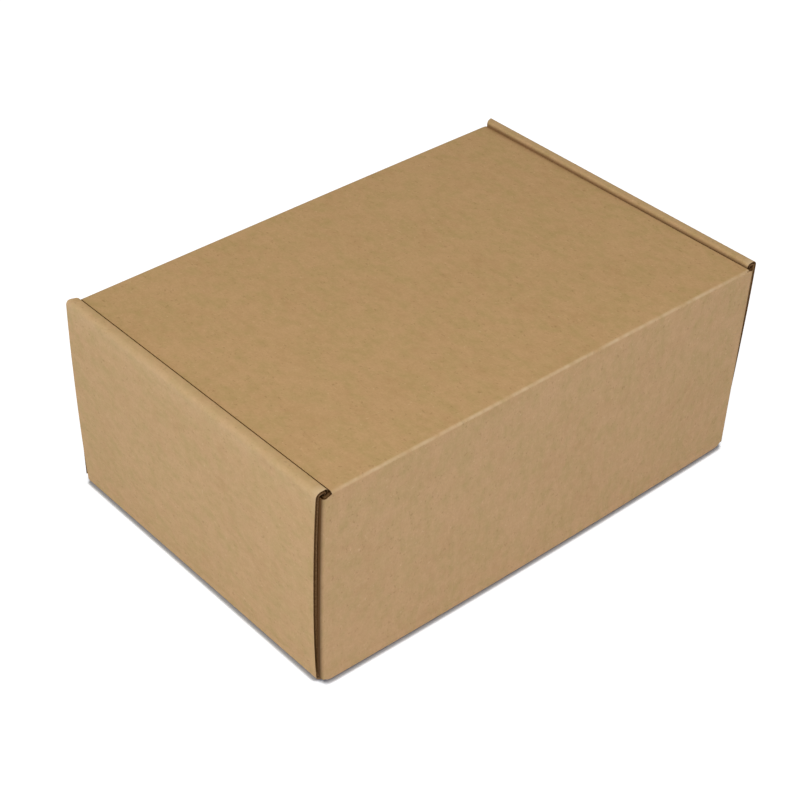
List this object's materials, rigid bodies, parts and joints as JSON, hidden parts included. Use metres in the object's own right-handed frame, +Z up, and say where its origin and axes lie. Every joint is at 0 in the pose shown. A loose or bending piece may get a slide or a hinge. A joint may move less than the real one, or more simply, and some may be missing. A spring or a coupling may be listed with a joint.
{
  "type": "closed cardboard box",
  "caption": "Closed roll-end mailer box folded from one corrugated sheet, with rolled-over side walls and a hinged lid that tucks in at the front.",
  "frame": {"origin": "centre of the bottom, on the surface that the box stands on", "axes": "+Z up, X along the long side, +Y towards the back wall that the lid is hinged on"},
  "size_m": [0.258, 0.176, 0.104],
  "materials": {
    "kraft_tray": "matt brown kraft liner",
    "kraft_lid": "matt brown kraft liner"
  },
  "bodies": {
    "tray": {"tray": "kraft_tray"},
    "lid": {"lid": "kraft_lid"}
  },
  "joints": [
    {"name": "lid_hinge", "type": "hinge", "parent": "tray", "child": "lid", "pos_m": [0, 0.08752, 0.10272], "axis": [-1, 0, 0], "range_deg": [0, 180]}
  ]
}
